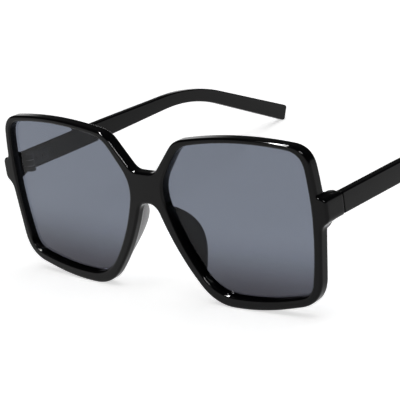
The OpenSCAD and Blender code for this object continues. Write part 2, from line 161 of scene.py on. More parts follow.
class FrontSettings(bpy.types.PropertyGroup):
    """Sizes of the front."""

    width: length("Width", "Width over the two end pieces", 149.2)
    eye_width: length("Opening width", "Width between the corners of a lens opening", 60.3)
    eye_height: length("Opening height", "Height between the corners of a lens opening", 51.7)
    bridge_width: length("Bridge width", "Distance between the nose corners of the openings", 13.6)
    bridge_top: length("Bridge top", "Height of the bridge's top edge", 44.473)
    notch_width: length("Notch width", "Width of the flat top of the bridge", 10.1)
    arch_top: length("Arch top", "Height of the nose arch", 33.273)
    arch_width: length("Arch width", "Width of the nose arch's top", 7.6)
    rim_top: length("Rim above", "Rim above the opening", 1.9)
    rim_side: length("Rim beside", "Rim beside the upper outer corner", 2.5)
    rim_low_side: length("Rim beside, low", "Rim beside the lower outer corner", 3.6)
    rim_bottom: length("Rim below", "Rim below the opening", 4.4)
    rim_nose: length("Foot corner", "Distance of the foot's nose corner beyond the opening's", 0.3)
    edge_rise: length("Edge rise", "Rise of the lower edge towards the outer corner", 5.5)
    depth: length("Thickness", "Thickness at the bridge", 4.3)
    face_radius: length("Face radius", "Radius of the face, seen from above", 730)
    back_radius: length("Back radius", "Radius of the back, seen from above", 800)
    end_thickness: length("End piece thickness", "Thickness of the end pieces", 3.2)
    end_height: length("End piece height", "Height of the end pieces at the joint", 7.7)
    end_reach: length("End piece reach", "Distance from the face back to the joint", 12.65)
    end_rise: length("End piece rise", "Rise of the end piece's top into the rim", 0.6)
    end_fall: length("End piece fall", "Fall of the end piece's underside into the rim", 2)
    lean: angle("Lean", "Lean of the front backwards and slope of the temples' shafts", 3.4)
    hinge_height: length("Hinge height", "Height of the middle of the hinges", 37.8)
    edge_radius: length("Face edge radius", "Rounding between the face and the outer walls", 1.0)
    back_edge: length("Back edge radius", "Rounding between the back and the outer walls", 0.9)
    nose_edge: length("Nose edge radius", "Rounding between the back and the nose's side", 2.4)
    joint_edge: length("Joint edge radius", "Rounding round the joint face", 0.25)
    eye_edge: length("Opening edge radius", "Rounding round the openings, on the face", 1.0)
    eye_back_edge: length("Opening back radius", "Rounding round the openings, on the back", 0.5)


class LensSettings(bpy.types.PropertyGroup):
    """Sizes and tint of the lenses, and the painted shade towards their bottom."""

    thickness: length("Thickness", "Thickness of a lens", 1.3)
    set_back: length("Set back", "Depth of a lens behind the face", 2.2)
    hold: length("Hold", "Reach of a lens into the rim", 0.35)
    upper: colour("Upper tint", "Colour of the light that passes near the top", (0.155, 0.172, 0.212))
    # The lower tint is painted shade: it darkens the lens towards its bottom in place of the frame's shadow
    # seen through it.
    lower: colour("Lower tint", "Colour of the light that passes near the bottom", (0.038, 0.036, 0.044))


class TempleSettings(bpy.types.PropertyGroup):
    """Sizes of the temples."""

    thickness: length("Thickness", "Thickness of a temple", 3.2)
    root: length("Root height", "Height of a temple at the joint", 7.2)
    waist: length("Waist height", "Height of a temple where it bends", 5.1)
    tip: length("Tip height", "Height of a temple at its tip", 6.6)
    shaft: length("Shaft length", "Length from the joint to the bend", 75.7)
    taper: length("Taper start", "Length from the joint to the taper", 26)
    bend: length("Bend radius", "Radius of the bend behind the ear", 75)
    ear_drop: angle("Ear drop", "Slope of the ear part below the horizontal", 28.4)
    tip_radius: length("Tip radius", "Radius of the tip's corners", 1.3)
    gap: length("Joint gap", "Gap between the end piece and the temple", 0.3)
    edge: length("Edge radius", "Rounding of a temple's long edges", 0.6)


class PadSettings(bpy.types.PropertyGroup):
    """Sizes of the nose pads."""

    length: length("Length", "Length of a pad along the rim", 28)
    reach: length("Reach", "Reach of a pad behind the rim", 8)
    thickness: length("Thickness", "Thickness of a pad", 2.2)
    inset: length("Inset", "Distance of a pad's root from the rim's nose edge", 0.3)
    lean: angle("Lean", "Outward lean of a pad", 11)


class FinishSettings(bpy.types.PropertyGroup):
    """Colours of the materials."""

    plastic: colour("Plastic", "Colour of the frame", (0.002, 0.002, 0.0025))
    gloss: share("Roughness", "Roughness of the polished plastic", 0.07)
    metal: colour("Metal", "Colour of the screws", (0.62, 0.62, 0.63))
    plating: colour("Plating", "Colour of the hinge leaves", (0.03, 0.03, 0.034))
    nylon: colour("Nylon", "Colour of the washers", (0.72, 0.70, 0.64))


class StageSettings(bpy.types.PropertyGroup):
    """Camera and light."""

    azimuth: angle("Azimuth", "Direction of the camera round the object", 44.807)
    elevation: angle("Elevation", "Height of the camera above the horizontal", 20.291)
    roll: angle("Roll", "Turn of the camera about its view", -11.072)
    distance: length("Distance", "Distance of the camera from the front", 595.807)
    focal: length("Focal length", "Focal length of the camera", 159.071)
    aside: length("Aside", "Shift of the camera to its right", 18.745)
    above: length("Above", "Shift of the camera upwards", 4.564)
    aim_height: length("Aim height", "Height of the point that the camera is set about", 30.7)
    floor: colour("Floor", "Colour of the floor", (0.93, 0.93, 0.93))
    sky: share("Sky", "Strength of the light from all round", 0.9)
    ceiling: share("Ceiling", "Brightness of the backdrop overhead", 0.05)


def smooth(t):
    """The even step 3t^2 - 2t^3, held between 0 and 1."""
    t = np.clip(t, 0, 1)
    return t * t * (3 - 2 * t)


def mix(a, b, t):
    """The straight blend from a to b."""
    return a + (b - a) * t


def grid_faces(rows, columns, start):
    """Quads between neighbouring rows and columns of one grid of points."""
    r, c = np.meshgrid(np.arange(rows - 1), np.arange(columns - 1), indexing="ij")
    first = start + r * columns + c
    return np.stack([first, first + 1, first + columns + 1, first + columns], -1).reshape(-1, 4)


def make_piece(name, sheets, material, body, stands_for, sharp_degrees=40):
    """One closed mesh from grids of points (rows, columns, xyz), welded where their borders meet."""
    starts = np.cumsum([0] + [s.shape[0] * s.shape[1] for s in sheets])
    points = np.concatenate([s.reshape(-1, 3) for s in sheets])
    faces = np.concatenate([grid_faces(*s.shape[:2], a) for s, a in zip(sheets, starts)])
    mesh = bpy.data.meshes.new(name)
    mesh.from_pydata(points.tolist(), [], faces.tolist())
    shell = bmesh.new()
    shell.from_mesh(mesh)
    bmesh.ops.remove_doubles(shell, verts=shell.verts, dist=WELD)
    bmesh.ops.dissolve_degenerate(shell, edges=shell.edges, dist=WELD)
    bmesh.ops.recalc_face_normals(shell, faces=shell.faces)
    shell.to_mesh(mesh)
    shell.free()
    mesh.polygons.foreach_set("use_smooth", np.ones(len(mesh.polygons), bool))
    mesh.set_sharp_from_angle(angle=math.radians(sharp_degrees))
    mesh.materials.append(material)
    piece = bpy.data.objects.new(name, mesh)
    bpy.context.scene.collection.objects.link(piece)
    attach(piece, body)
    if stands_for:
        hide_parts(*stands_for)
    return piece


def bowed(a, b, bow, s):
    """Points on a bowed line: the chord from a to b plus a parabola of height bow times its length."""
    side = np.array([a[1] - b[1], b[0] - a[0]])
    s = np.atleast_1d(s)[:, None]
    return a + s * (b - a) + 4 * bow * s * (1 - s) * side


def outline(corners, bows, cuts, soften):
    """A closed line of bowed edges, each corner c rounded by (1-s)^2 p + 2s(1-s) c + s^2 q.

    It is then spaced evenly and smoothed with a bell of width soften, so that no kink is left."""
    parts = []
    count = len(corners)
    for i in range(count):
        a, c, b = corners[i - 1], corners[i], corners[(i + 1) % count]
        into, out = np.linalg.norm(c - a), np.linalg.norm(b - c)
        p = bowed(a, c, bows[i - 1], 1 - cuts[i] / into)
        q = bowed(c, b, bows[i], cuts[i] / out)
        s = CURVE_STEPS[:, None]
        parts.append((1 - s) ** 2 * p + 2 * s * (1 - s) * c + s * s * q)
        first, last = cuts[i] / out, 1 - cuts[(i + 1) % count] / out
        parts.append(bowed(c, b, bows[i], mix(first, last, CURVE_STEPS)))
    line = np.concatenate(parts)
    closed = np.concatenate([line, line[:1]])
    run = np.concatenate([[0], np.cumsum(np.linalg.norm(np.diff(closed, axis=0), axis=1))])
    at = np.arange(0, run[-1], run[-1] / round(run[-1] / LINE_SPACING))
    even = np.stack([np.interp(at, run, closed[:, k]) for k in (0, 1)], -1)
    waves = np.fft.rfftfreq(len(even), LINE_SPACING)
    bell = np.exp(-2 * (math.pi * soften * waves) ** 2)[:, None]
    return np.fft.irfft(np.fft.rfft(even, axis=0) * bell, len(even), axis=0)


def side_normals(points, closed):
    """Unit vectors to the right of a line, from its central differences."""
    if closed:
        t = np.roll(points, -1, axis=0) - np.roll(points, 1, axis=0)
    else:
        t = np.gradient(points, axis=0)
    n = np.stack([t[:, 1], -t[:, 0]], -1)
    return n / np.linalg.norm(n, axis=1, keepdims=True)


def on_rays(line, centre, angles):
    """Points where rays from centre at these angles meet a closed line round it."""
    d = line - centre
    turn, reach = np.arctan2(d[:, 1], d[:, 0]), np.hypot(d[:, 0], d[:, 1])
    order = np.argsort(turn)
    reach = np.interp(angles, turn[order], reach[order], period=2 * math.pi)
    return centre + reach[..., None] * np.stack([np.cos(angles), np.sin(angles)], -1)


def standing(flat, y):
    """Points at x and z from a flat grid and at the depths y."""
    return np.stack([flat[..., 0], np.broadcast_to(y, flat.shape[:-1]), flat[..., 1]], -1)


class Front:
    """Outlines and depths of the front, worked out from its settings."""

    def __init__(self, s):
        self.s = s
        first = np.array([s.bridge_width / 2, s.rim_bottom])
        size = np.array([s.eye_width, s.eye_height])
        eye = first + EYE_SHARES * size
        self.end_x = s.width / 2 - s.end_thickness
        self.end_top = s.hinge_height + s.end_height / 2
        self.end_low = s.hinge_height - s.end_height / 2
        self.foot_x = eye[3][0] - s.rim_nose
        rim = np.array([
            [s.notch_width / 2, s.bridge_top],
            [eye[0][0] - s.rim_top, eye[0][1] + s.rim_top],
            [eye[1][0] + s.rim_side, eye[1][1] + s.rim_top],
            [self.end_x, self.end_top + s.end_rise],
            [s.width / 2, self.end_top],
            [s.width / 2, self.end_low + FALL_SHARE * s.end_rise],
            [self.end_x, self.end_low - s.end_fall],
            [eye[2][0] + s.rim_low_side, s.edge_rise],
            [mix(eye[3][0], eye[2][0], FOOT_SHARE), 0],
            [self.foot_x, 0],
            [s.arch_width / 2, s.arch_top],
        ])
        both = np.concatenate([rim, rim[::-1] * [-1, 1]])
        sizes = [s.notch_width] + [s.eye_height] * 6 + [s.eye_width] * 2 + [s.eye_height, s.arch_width]
        cuts = np.array(RIM_CORNERS + RIM_CORNERS[::-1]) * np.array(sizes + sizes[::-1])
        bows = RIM_BOWS + [0] + RIM_BOWS[::-1] + [0]
        self.eye = outline(eye, EYE_BOWS, np.array(EYE_CORNERS) * s.eye_height, EYE_SOFTNESS)
        self.rim = outline(both, bows, cuts, RIM_SOFTNESS)
        self.centre = np.array([eye[:, 0].mean(), s.arch_top + s.edge_radius + s.rim_top])
        fore = self.face(self.rim[:, 0]) * math.cos(s.lean) + self.rim[:, 1] * math.sin(s.lean)
        self.shift = CAD_BOX[0][1] - fore.min()

    def placed(self, sheet, side=1):
        """A drawn grid, or its mirror image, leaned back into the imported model's frame and on the table."""
        c, s = math.cos(self.s.lean), math.sin(self.s.lean)
        x, y, z = np.moveaxis(sheet, -1, 0)
        return np.stack([side * x, y * c + z * s + self.shift, np.maximum(z * c - y * s, 0)], -1)

    def face(self, x, deeper=0.0):
        """Depth of the face at x, or of a surface deeper behind it: a circle seen from above."""
        r = self.s.face_radius
        return r - np.sqrt((r - deeper) ** 2 - x * x)

    def back(self, x):
        """Depth of the back at x: a circle of its own, seen from above."""
        r = self.s.back_radius
        return self.s.depth + r - np.sqrt(r * r - x * x)

    def half_rim(self):
        """The left half of the outer line, from the notch clockwise to the arch, with its inward normals.

        Its points lie closer together at the end piece."""
        line = self.rim
        past = np.nonzero(line[:, 0] < 0)[0]
        half = np.concatenate([line[past[-1] + 1:], line[:past[0]]])
        half = np.concatenate([[[0, half[0][1]]], half, [[0, half[-1][1]]]])
        step = np.linalg.norm(np.diff(half, axis=0), axis=1)
        near = smooth((half[1:, 0] - self.end_x + END_RUN_IN) / MM)
        weight = step * (1 + END_DENSITY * near)
        run = np.concatenate([[0], np.cumsum(weight)])
        at = np.linspace(0, run[-1], 1 + round(run[-1] / RIM_SPACING))
        half = np.stack([np.interp(at, run, half[:, k]) for k in (0, 1)], -1)
        normals = side_normals(half, False)
        normals[0], normals[-1] = (0, -1), (0, 1)
        return half, normals


def front_sheets(shape):
    """Grids of the front's left half.

    A profile is carried round the outer line: a quarter circle of radius r, at line + r (1 - sin t) n and
    face + r (1 - cos t), the wall, a second quarter circle and the ledge. At the end piece the wall runs
    on to the joint, and the ledge becomes the joint face and the inner face. A second profile of the
    same kind goes round the opening. Two sheets fill the face and the back, on rays from the middle of
    the opening. A radius r with the room w stays below its share k of it: r k w / sqrt(r^2 + k^2 w^2)."""
    s = shape.s
    line, normal = shape.half_rim()
    face, back = shape.face(line[:, 0]), shape.back(line[:, 0])
    end = smooth((line[:, 0] - shape.end_x) / END_BLEND)
    inside = np.nonzero(end > 0)[0]
    run = np.concatenate([[0], np.cumsum(np.linalg.norm(np.diff(line, axis=0), axis=1))])
    along = np.clip((run - run[inside[0]]) / (run[inside[-1]] - run[inside[0]]), 0, 1)
    block = np.stack([line[:, 0], np.clip(line[:, 1], shape.end_low, shape.end_top)], -1)
    block_normal = side_normals(block, False)
    inward = mix(normal, block_normal, end[:, None])
    deep = mix(back, s.end_reach, end)
    quarter = np.linspace(0, math.pi / 2, 7)
    outwards = -side_normals(shape.eye, True)

    def turns_of(loop):
        """Directions of points, seen from the middle of the opening."""
        d = loop - shape.centre
        return np.unwrap(np.arctan2(d[:, 1], d[:, 0]))

    def eye_ring(grow, angles):
        """Points on the opening's line at these directions, moved outwards by grow."""
        bare = on_rays(shape.eye, shape.centre, angles)
        wide = on_rays(shape.eye + outwards * MM, shape.centre, angles)
        return bare + (wide - bare) * np.reshape(grow / MM, (-1, 1))

    def row(flat, y):
        """One row of the grid."""
        return standing(flat, y)[None]

    def fitted(radius, portion, room):
        """The radius where there is much room, and no more than its portion of a narrow rim."""
        return radius * room * portion / np.hypot(radius, room * portion)

    room = np.linalg.norm(line - eye_ring(0.0, turns_of(line)), axis=1)
    edge = fitted(s.edge_radius, FACE_EDGE_SHARE, room)
    band = fitted(BAND, BAND_SHARE, room)
    inside_nose = smooth((shape.foot_x - line[:, 0]) / NOSE_BLEND)
    by_nose = inside_nose * smooth((s.arch_top - line[:, 1]) / NOSE_BLEND)
    bend = fitted(mix(s.back_edge, s.nose_edge, by_nose), BACK_EDGE_SHARE, room)
    bend = mix(bend, s.joint_edge, end)
    band_line = line + normal * (edge + band)[:, None]
    rows = [row(band_line, shape.face(band_line[:, 0]))]
    for turn in quarter:
        flat = line + normal * (edge * (1 - math.sin(turn)))[:, None]
        rows.append(row(flat, shape.face(flat[:, 0]) + edge * (1 - math.cos(turn))))
    wall_start = face + edge
    for t in np.linspace(0, 1, 11)[1:]:
        y = mix(wall_start, deep - bend, t)
        shift = end * smooth((y - face - BLOCK_START_SHARE * s.depth) / BLOCK_BLEND)
        rows.append(row(mix(line, block, shift[:, None]), y))
    last = mix(line, block, end[:, None])
    for turn in quarter[1:]:
        flat = last + inward * (bend * (1 - math.cos(turn)))[:, None]
        rows.append(row(flat, deep - bend * (1 - math.sin(turn))))
    inner_z = mix(shape.end_top - s.joint_edge, shape.end_low + s.joint_edge, along)
    inner = np.stack([np.full_like(inner_z, shape.end_x), inner_z], -1)
    ledge = mix(line + normal * (bend + band)[:, None], inner, end[:, None])
    ledge_back = shape.back(ledge[:, 0])
    ledge_y = mix(ledge_back, s.end_reach, end)
    for t in np.linspace(0, 1, 5):
        rows.append(row(ledge, mix(ledge_y, ledge_back, t)))
    roll = np.concatenate(rows)

    def closed(values):
        """The values, and a straight run from the last one back to the first, along x = 0."""
        t = np.linspace(0, 1, 18).reshape(-1, *[1] * (values.ndim - 1))
        return np.concatenate([values, mix(values[-1], values[0], t)[1:]])

    face_loop, back_loop, room = closed(band_line), closed(ledge), closed(room)
    face_turns, back_turns = turns_of(face_loop), turns_of(back_loop)
    band = fitted(BAND, BAND_SHARE, room)
    edge = fitted(s.eye_edge, EYE_EDGE_SHARE, room)
    bend = fitted(s.eye_back_edge, EYE_BACK_SHARE, room)
    steps = np.linspace(0, 1, 7)[:, None, None]
    fill = mix(face_loop[None], eye_ring(edge + band, face_turns)[None], steps)
    face_sheet = standing(fill, shape.face(fill[..., 0]))
    fill = mix(back_loop[None], eye_ring(bend + band, back_turns)[None], steps)
    back_sheet = standing(fill, shape.back(fill[..., 0]))

    ring = eye_ring(edge + band, face_turns)
    rows = [row(ring, shape.face(ring[:, 0]))]
    for turn in quarter:
        ring = eye_ring(edge * (1 - math.sin(turn)), face_turns)
        rows.append(row(ring, shape.face(ring[:, 0]) + edge * (1 - math.cos(turn))))
    for t in np.linspace(0, 1, 5)[1:]:
        ring = eye_ring(0.0, mix(face_turns, back_turns, t))
        x = ring[:, 0]
        rows.append(row(ring, mix(shape.face(x) + edge, shape.back(x) - bend, t)))
    for turn in quarter[1:]:
        ring = eye_ring(bend * (1 - math.cos(turn)), back_turns)
        rows.append(row(ring, shape.back(ring[:, 0]) - bend * (1 - math.sin(turn))))
    ring = eye_ring(bend + band, back_turns)
    rows.append(row(ring, shape.back(ring[:, 0])))
    return [roll, face_sheet, back_sheet, np.concatenate(rows)]


def lens_sheets(shape, lens):
    """Grids of the left lens: rays from its middle on both curved faces, and the rounded edge between.

    Its faces lie at y = r - sqrt((r - d)^2 - x^2), with d the depth behind the face of the front."""
    outwards = -side_normals(shape.eye, True)
    turns = np.linspace(math.pi, -math.pi, 361)
    edge = lens.thickness / 4
    full = shape.eye + outwards * lens.hold
    rim = on_rays(full, shape.centre, turns)
    ease = on_rays(full - outwards * edge, shape.centre, turns)
    disc = mix(shape.centre, ease[None], np.linspace(0, 1, 13)[:, None, None])
    front = standing(disc, shape.face(disc[..., 0], lens.set_back))
    rear = standing(disc, shape.face(disc[..., 0], lens.set_back + lens.thickness))
    side = []
    for turn in np.linspace(0, math.pi / 2, 5):
        flat = mix(ease, rim, math.sin(turn))
        depth = lens.set_back + edge * (1 - math.cos(turn))
        side.append(standing(flat, shape.face(flat[:, 0], depth))[None])
    for turn in np.linspace(math.pi / 2, 0, 5):
        flat = mix(ease, rim, math.sin(turn))
        depth = lens.set_back + lens.thickness - edge * (1 - math.cos(turn))
        side.append(standing(flat, shape.face(flat[:, 0], depth))[None])
    return [front, np.concatenate(side), rear]


def temple_path(s, front, at):
    """Places (y, z) and slopes of a temple's middle line at distances from the joint.

    It is a level straight line, an arc and a sloping straight line that ends on the table."""
    turn = s.ear_drop - front.lean
    bend_run = s.bend * turn
    slope = turn * np.clip((at - s.shaft) / bend_run, 0, 1)
    middle = np.array([front.end_reach + s.gap + s.shaft, front.hinge_height - s.bend])
    bent = middle + s.bend * np.stack([np.sin(slope), np.cos(slope)], -1)
    run = np.stack([np.cos(slope), -np.sin(slope)], -1)
    straight = np.minimum(at - s.shaft, 0) + np.maximum(at - s.shaft - bend_run, 0)
    return bent + run * straight[:, None], slope, bend_run


def temple_length(s, front):
    """Distances along a temple from the joint to its waist and to its tip, where it meets the table."""
    _, _, bend_run = temple_path(s, front, np.zeros(1))
    y, z = temple_path(s, front, np.array([s.shaft + bend_run]))[0][0]
    tip_z = (s.tip_radius + (s.tip / 2 - s.tip_radius) * math.cos(s.ear_drop)
             - s.tip_radius * math.sin(s.ear_drop))
    ear = (z * math.cos(front.lean) - y * math.sin(front.lean) - tip_z) / math.sin(s.ear_drop)
    return s.shaft + bend_run / 2, s.shaft + bend_run + ear


def eased_in(distance, radius):
    """How far a rounded end draws in at a distance from it: a quarter circle of that radius."""
    left = np.clip(radius - distance, 0, radius)
    return radius - np.sqrt(radius * radius - left * left)


def temple_sheets(s, front):
    """Grid of the left temple: a rounded rectangle carried along its middle line, with rounded ends.

    Its section is x = +-(w - r) + r cos t, z = +-(h - r) + r sin t, with half sizes w and h."""
    waist_at, total = temple_length(s, front)
    root_edge = front.joint_edge
    quarter = np.linspace(0, math.pi / 2, 9)
    at = np.concatenate([
        root_edge * (1 - np.cos(quarter)),
        np.linspace(2 * root_edge, total - 2 * s.tip_radius, 150),
        total - s.tip_radius * (1 - np.sin(quarter)),
    ])
    place, slope, _ = temple_path(s, front, at)
    taper = smooth((at - s.taper) / (waist_at - s.taper))
    high = mix(s.root, s.waist, taper) / 2
    flare = np.clip((at - waist_at) / (total - waist_at), 0, 1)
    high = high + (s.tip - s.waist) / 2 * flare
    wide = np.full_like(high, s.thickness / 2)
    root_in = eased_in(at, root_edge)
    high = high - root_in - eased_in(total - at, s.tip_radius)
    wide = wide - root_in - eased_in(total - at, s.edge)
    radius = np.minimum(s.edge, np.minimum(wide, high) - WELD)
    turn = np.concatenate([np.linspace(k, k + 1, 8) for k in range(4)] + [[4]]) * math.pi / 2
    quadrant = np.concatenate([np.repeat(np.arange(4), 8), [0]])
    sign_x = np.array([1, -1, -1, 1])[quadrant]
    sign_z = np.array([1, 1, -1, -1])[quadrant]
    x = sign_x * (wide - radius)[:, None] + radius[:, None] * np.cos(turn)
    z = sign_z * (high - radius)[:, None] + radius[:, None] * np.sin(turn)
    x, z = np.concatenate([x, x[:, :1]], 1), np.concatenate([z, z[:, :1]], 1)
    tube = np.stack([
        front.width / 2 - s.thickness / 2 + x,
        place[:, :1] + z * np.sin(slope)[:, None],
        place[:, 1:] + z * np.cos(slope)[:, None],
    ], -1)
    ends = [np.broadcast_to(tube[k].mean(0), tube[k].shape)[None] for k in (0, -1)]
    return [np.concatenate([ends[0], tube, ends[1]])]


def pad_sheets(pad, shape):
    """Grid of the left nose pad: a hump along the rim, each of its sections half a squared ellipse.

    The hump is sin(pi u^k) high at the share u of the pad's length, with k its skew."""
    s = shape.s
    u = (1 - np.cos(np.linspace(0, math.pi, 40))) / 2
    v = np.linspace(0, math.pi, 33)
    hump = np.sin(math.pi * u ** PAD_SKEW)
    reach = pad.reach * hump
    half = pad.thickness / 2 * mix(PAD_THIN_SHARE, 1, np.sqrt(np.clip(hump, 0, 1)))
    across = np.sign(np.cos(v)) * np.abs(np.cos(v)) ** PAD_SQUARENESS
    away = np.abs(np.sin(v)) ** PAD_SQUARENESS
    x = pad.thickness / 2 - half[:, None] * across
    y = reach[:, None] * away
    z = np.broadcast_to((-pad.length * u)[:, None], x.shape)
    local = np.stack([x, y, z], -1)
    root = local[:, [0, -1]] + [0, -PAD_ROOT, 0]
    local = np.concatenate([root[:, :1], local, root[:, 1:], root[:, :1]], 1)
    ends = [np.broadcast_to(local[k].mean(0), local[k].shape)[None] for k in (0, -1)]
    local = np.concatenate([ends[0], local, ends[1]])
    foot, peak = np.array([shape.foot_x, 0]), np.array([s.arch_width / 2, s.arch_top])
    span = pad.length / np.linalg.norm(peak - foot)
    top, low = bowed(foot, peak, RIM_BOWS[9], np.array([PAD_START_SHARE, PAD_START_SHARE - span]))
    lean = math.atan2(low[0] - top[0], top[1] - low[1])
    turn = Matrix.Rotation(-lean, 3, "Y") @ Matrix.Rotation(-pad.lean, 3, "Z")
    placed = local @ np.array(turn).T
    return [placed + [top[0] + pad.inset, s.depth, top[1]]]


def new_group(name, inputs, outputs):
    """An empty shader node group with named sockets."""
    group = bpy.data.node_groups.new(name, "ShaderNodeTree")
    for label, kind, value in inputs:
        socket = group.interface.new_socket(name=label, in_out="INPUT", socket_type=kind)
        socket.default_value = value
    for label, kind in outputs:
        group.interface.new_socket(name=label, in_out="OUTPUT", socket_type=kind)
    return group


def marks_group():
    """Shader group: the faint ripple of a moulded or drawn skin, and the cloudy change of its gloss."""
    if "surface_marks" in bpy.data.node_groups:
        return bpy.data.node_groups["surface_marks"]
    group = new_group(
        "surface_marks",
        [("Roughness", "NodeSocketFloat", 0.15), ("Spread", "NodeSocketFloat", 0.03),
         ("Scale", "NodeSocketFloat", 400.0), ("Cloud Scale", "NodeSocketFloat", 60.0)],
        [("Roughness", "NodeSocketFloat"), ("Height", "NodeSocketFloat")],
    )
    nodes, links = group.nodes, group.links
    source, drain = nodes.new("NodeGroupInput"), nodes.new("NodeGroupOutput")
    place = nodes.new("ShaderNodeTexCoord")
    ripple, cloud = nodes.new("ShaderNodeTexNoise"), nodes.new("ShaderNodeTexNoise")
    cloud.inputs["Detail"].default_value = 6
    for noise, scale in ((ripple, "Scale"), (cloud, "Cloud Scale")):
        links.new(place.outputs["Object"], noise.inputs["Vector"])
        links.new(source.outputs[scale], noise.inputs["Scale"])
    centred = nodes.new("ShaderNodeMath")
    centred.operation = "SUBTRACT"
    centred.inputs[1].default_value = 0.5
    links.new(cloud.outputs["Fac"], centred.inputs[0])
    gloss = nodes.new("ShaderNodeMath")
    gloss.operation = "MULTIPLY_ADD"
    links.new(centred.outputs[0], gloss.inputs[0])
    links.new(source.outputs["Spread"], gloss.inputs[1])
    links.new(source.outputs["Roughness"], gloss.inputs[2])
    links.new(gloss.outputs[0], drain.inputs["Roughness"])
    links.new(ripple.outputs["Fac"], drain.inputs["Height"])
    return group


def marked_material(name, base, roughness, spread, scale, bump, **shader_values):
    """A material whose roughness and relief come from the marks group."""
    if name in bpy.data.materials:
        return bpy.data.materials[name]
    material = bpy.data.materials.new(name)
    material.use_nodes = True
    nodes, links = material.node_tree.nodes, material.node_tree.links
    shader = nodes["Principled BSDF"]
    shader.inputs["Base Color"].default_value = (*base, 1)
    for label, value in shader_values.items():
        shader.inputs[label.replace("_", " ")].default_value = value
    marks = nodes.new("ShaderNodeGroup")
    marks.node_tree = marks_group()
    marks.inputs["Roughness"].default_value = roughness
    marks.inputs["Spread"].default_value = spread
    marks.inputs["Scale"].default_value = scale
    relief = nodes.new("ShaderNodeBump")
    relief.inputs["Strength"].default_value = bump
    relief.inputs["Distance"].default_value = RELIEF
    links.new(marks.outputs["Roughness"], shader.inputs["Roughness"])
    links.new(marks.outputs["Height"], relief.inputs["Height"])
    links.new(relief.outputs["Normal"], shader.inputs["Normal"])
    return material


def plastic_material():
    """Polished black plastic."""
    finish = bpy.context.scene.glasses_finish
    return marked_material("black_plastic", finish.plastic, finish.gloss, 0.05, 300, 0.04,
                           IOR=1.49, Specular_IOR_Level=0.14)


def pad_material():
    """Polished black plastic of the pads, with its shine raised far above the frame's: a painted sheen in
    place of the light that the pads reflect.
    """
    finish = bpy.context.scene.glasses_finish
    # Specular level 0.6 against the frame's 0.14: painted sheen on the pads.
    return marked_material("pad_plastic", finish.plastic, 0.25, 0.08, 300, 0.15,
                           IOR=1.49, Specular_IOR_Level=0.6)


def metal_material():
    """Dark plated steel of the hinge leaves."""
    finish = bpy.context.scene.glasses_finish
    return marked_material("plated_steel", finish.plating, 0.3, 0.2, 2500, 0.4, Metallic=1.0)


def screw_material():
    """Bright steel of the screws."""
    finish = bpy.context.scene.glasses_finish
    return marked_material("bright_steel", finish.metal, 0.16, 0.1, 1500, 0.2, Metallic=1.0)


def nylon_material():
    """Matt nylon of the washers."""
    finish = bpy.context.scene.glasses_finish
    return marked_material("white_nylon", finish.nylon, 0.5, 0.1, 1200, 0.3, IOR=1.53)


def lens_material():
    """Grey lens, see-through, darker towards its lower edge: painted shade that stands in for the frame's
    shadow on the floor behind it.
    """
    name = "grey_lens"
    if name in bpy.data.materials:
        return bpy.data.materials[name]
    lens = bpy.context.scene.glasses_lens
    front = bpy.context.scene.glasses_front
    material = bpy.data.materials.new(name)
    material.use_nodes = True
    nodes, links = material.node_tree.nodes, material.node_tree.links
    shader = nodes["Principled BSDF"]
    shader.inputs["Roughness"].default_value = 0.0
    shader.inputs["IOR"].default_value = 1.22
    shader.inputs["Transmission Weight"].default_value = 1.0
    place, split = nodes.new("ShaderNodeTexCoord"), nodes.new("ShaderNodeSeparateXYZ")
    shade_ramp = nodes.new("ShaderNodeMapRange")
    shade_ramp.interpolation_type = "SMOOTHSTEP"
    shade_ramp.inputs["From Min"].default_value = front.rim_bottom + SHADE_START_SHARE * front.eye_height
    shade_ramp.inputs["From Max"].default_value = front.rim_bottom + SHADE_END_SHARE * front.eye_height
    # Lower colour: painted shade for the frame's shadow seen through the lens; upper colour: the lens's own
    # tint.
    blend = nodes.new("ShaderNodeMix")
    blend.data_type = "RGBA"
    blend.inputs["A"].default_value = (*lens.lower, 1)
    blend.inputs["B"].default_value = (*lens.upper, 1)
    links.new(place.outputs["Object"], split.inputs[0])
    links.new(split.outputs["Z"], shade_ramp.inputs["Value"])
    links.new(shade_ramp.outputs["Result"], blend.inputs["Factor"])
    links.new(blend.outputs["Result"], shader.inputs["Base Color"])
    return material


def both_sides(shape, sheets):
    """Each side's name with its grids in place: the right ones are the left ones' mirror images."""
    for side, sign in SIDES.items():
        yield side, [shape.placed(sheet, sign) for sheet in sheets]


def dress(node, material):
    """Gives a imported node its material."""
    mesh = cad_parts[node].data
    mesh.materials.clear()
    mesh.materials.append(material)


class GLASSES_OT_front(bpy.types.Operator):
    """Build the rounded front with its bridge, rims and end pieces"""

    bl_idname = "glasses.front"
    bl_label = "Front"

    def execute(self, context):
        shape = Front(context.scene.glasses_front)
        sheets = [sheet for _, placed in both_sides(shape, front_sheets(shape)) for sheet in placed]
        make_piece("front_shell", sheets, plastic_material(), "front",
                   ["frame_front"])
        return {"FINISHED"}


class GLASSES_OT_lenses(bpy.types.Operator):
    """Build the two tinted lenses"""

    bl_idname = "glasses.lenses"
    bl_label = "Lenses"

    def execute(self, context):
        shape = Front(context.scene.glasses_front)
        sheets = lens_sheets(shape, context.scene.glasses_lens)
        for side, placed in both_sides(shape, sheets):
            make_piece("tinted_lens_" + side, placed, lens_material(), "front",
                       ["lens_" + side])
        return {"FINISHED"}


class GLASSES_OT_pads(bpy.types.Operator):
    """Build the two nose pads"""

    bl_idname = "glasses.pads"
    bl_label = "Nose pads"

    def execute(self, context):
        shape = Front(context.scene.glasses_front)
        sheets = pad_sheets(context.scene.glasses_pad, shape)
        for side, placed in both_sides(shape, sheets):
            make_piece("smooth_pad_" + side, placed, pad_material(), "front",
                       ["nose_pad_" + side])
        return {"FINISHED"}


